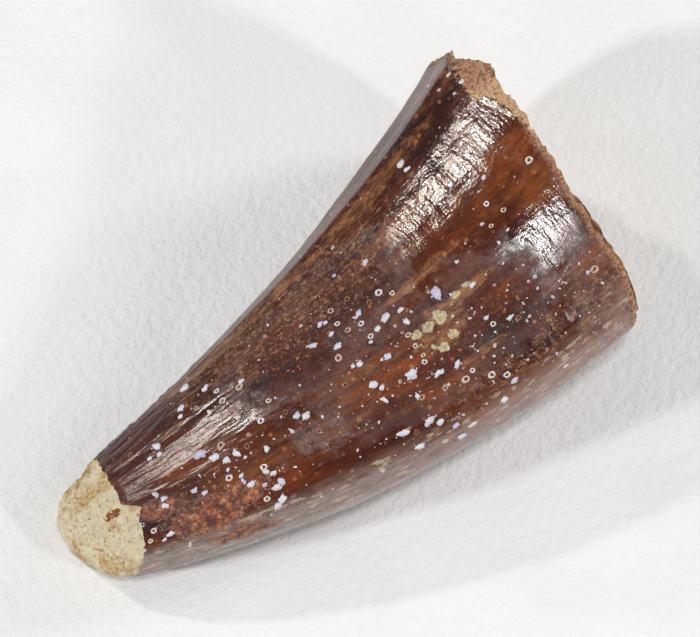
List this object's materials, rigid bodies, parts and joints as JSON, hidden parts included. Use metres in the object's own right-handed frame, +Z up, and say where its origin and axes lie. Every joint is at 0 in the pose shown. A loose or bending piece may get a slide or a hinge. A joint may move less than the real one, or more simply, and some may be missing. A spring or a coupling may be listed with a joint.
{
  "type": "fossil mosasaur tooth",
  "caption": "Curved conical fossil reptile tooth crown with glossy red-brown enamel, a broken pale tip and a crumbled root end, lying on its side.",
  "frame": {"origin": "on the ground, below the middle of the tooth's box as it lies", "axes": "+X from the broken tip to the root end, +Y towards the hollow edge of the curve, +Z up"},
  "size_m": [0.034, 0.0196, 0.0133],
  "materials": {
    "fossil_enamel": "glossy, finely striated"
  },
  "bodies": {
    "root": {"tooth": "fossil_enamel"}
  },
  "joints": []
}
